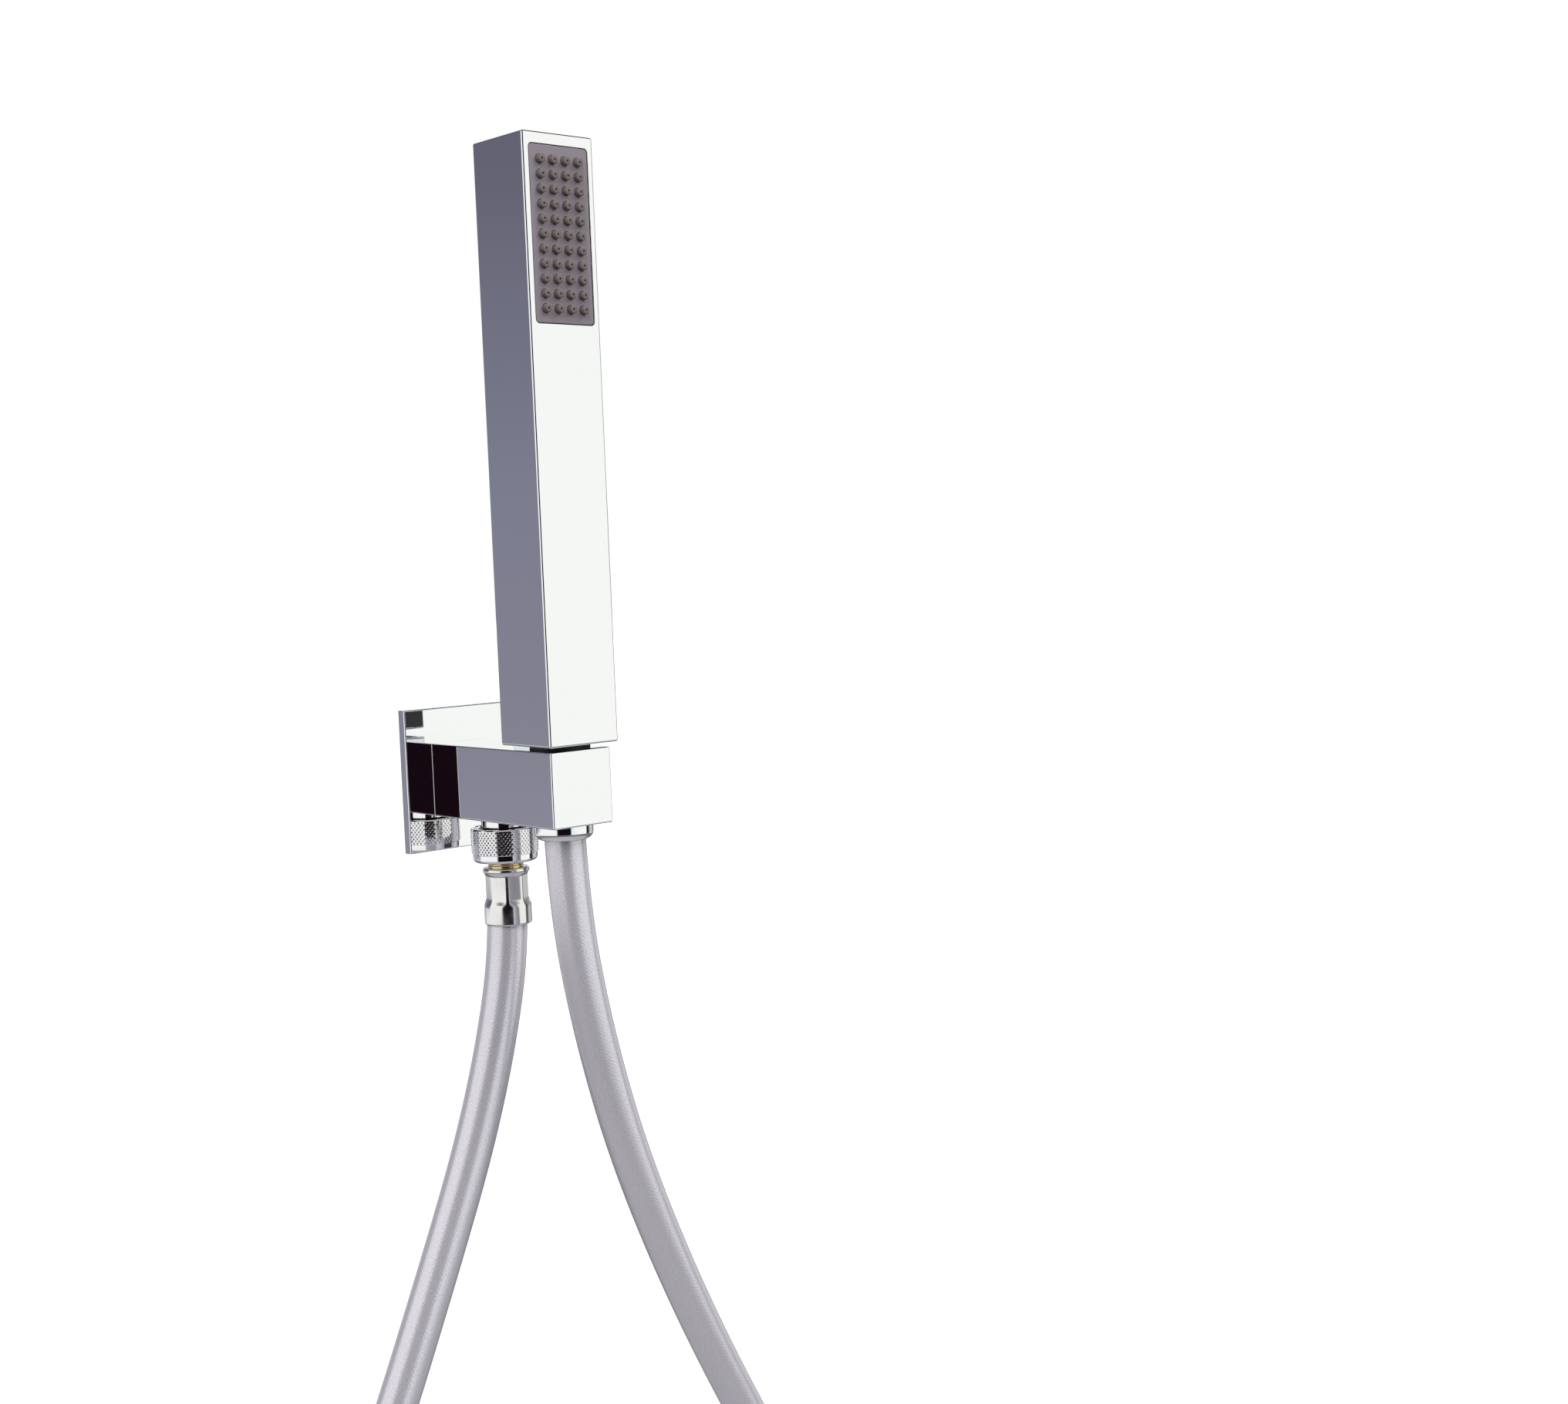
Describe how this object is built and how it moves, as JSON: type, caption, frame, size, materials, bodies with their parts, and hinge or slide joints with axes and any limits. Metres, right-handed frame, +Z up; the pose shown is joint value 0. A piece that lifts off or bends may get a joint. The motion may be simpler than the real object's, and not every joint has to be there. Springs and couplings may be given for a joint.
{
  "type": "handheld shower head",
  "caption": "Square stick handset with a nozzle panel, parked in a wall bracket that is also its water outlet, with the hose that joins them.",
  "frame": {"origin": "centre of the wall plate's back face, on the inlet axis", "axes": "+Z up along the handset, +Y into the wall along the inlet, so the set stands out from the wall towards -Y"},
  "size_m": [0.3222, 0.0994, 0.8514],
  "materials": {
    "polished_chrome": "mirror-polished chrome plate",
    "brass": "turned brass",
    "stainless": "bright stainless steel",
    "seal_rubber": "matt black rubber",
    "seal_foam": "light grey closed-cell foam",
    "nozzle_rubber": "satin taupe silicone",
    "face_plastic": "satin grey-mauve plastic",
    "inner_plastic": "off-white moulded plastic",
    "hose_plastic": "silver-grey PVC over a woven reinforcement"
  },
  "bodies": {
    "bracket": {"wall_plate": "polished_chrome", "plate_seal": "seal_foam", "bracket_body": "polished_chrome", "inlet_nipple": "brass", "inlet_o_ring": "seal_rubber", "grub_screw": "stainless", "outlet_nipple": "polished_chrome", "lower_washer": "seal_rubber", "lower_barb": "brass", "lower_ferrule": "stainless", "valve_cage": "inner_plastic", "valve_spring": "stainless", "hose_wall_half": "hose_plastic"},
    "outlet_nut": {"outlet_nut": "polished_chrome"},
    "valve_poppet": {"valve_poppet": "inner_plastic"},
    "hose_end": {"upper_barb": "brass", "upper_ferrule": "stainless", "swivel_o_ring": "seal_rubber", "swivel_clip": "stainless", "hose_handset_half": "hose_plastic"},
    "handset": {"hose_cone": "polished_chrome", "upper_washer": "seal_rubber", "strainer": "stainless", "flow_restrictor": "inner_plastic", "handle_shell": "polished_chrome", "handle_base": "inner_plastic", "water_tube": "inner_plastic", "lower_tube_seal": "seal_rubber", "upper_tube_seal": "seal_rubber", "spray_face": "face_plastic", "nozzle_mat": "nozzle_rubber", "face_seal": "seal_rubber", "water_chamber": "inner_plastic"}
  },
  "joints": [
    {"name": "handset_lift", "type": "slide", "parent": "bracket", "child": "hose_end", "axis": [0, 0, 1], "range_m": [0, 0.045]},
    {"name": "handset_turn", "type": "hinge", "parent": "hose_end", "child": "handset", "pos_m": [0, -0.0676, 0], "axis": [0, 0, 1], "continuous": true},
    {"name": "outlet_nut_turn", "type": "hinge", "parent": "bracket", "child": "outlet_nut", "pos_m": [0, -0.03, -0.024], "axis": [0, 0, 1], "continuous": true},
    {"name": "valve_open", "type": "slide", "parent": "bracket", "child": "valve_poppet", "axis": [0, 0, -1], "range_m": [0, 0.003], "stiffness_N_per_m": 80, "springref_m": -0.002, "deforming": ["valve_spring"]}
  ]
}
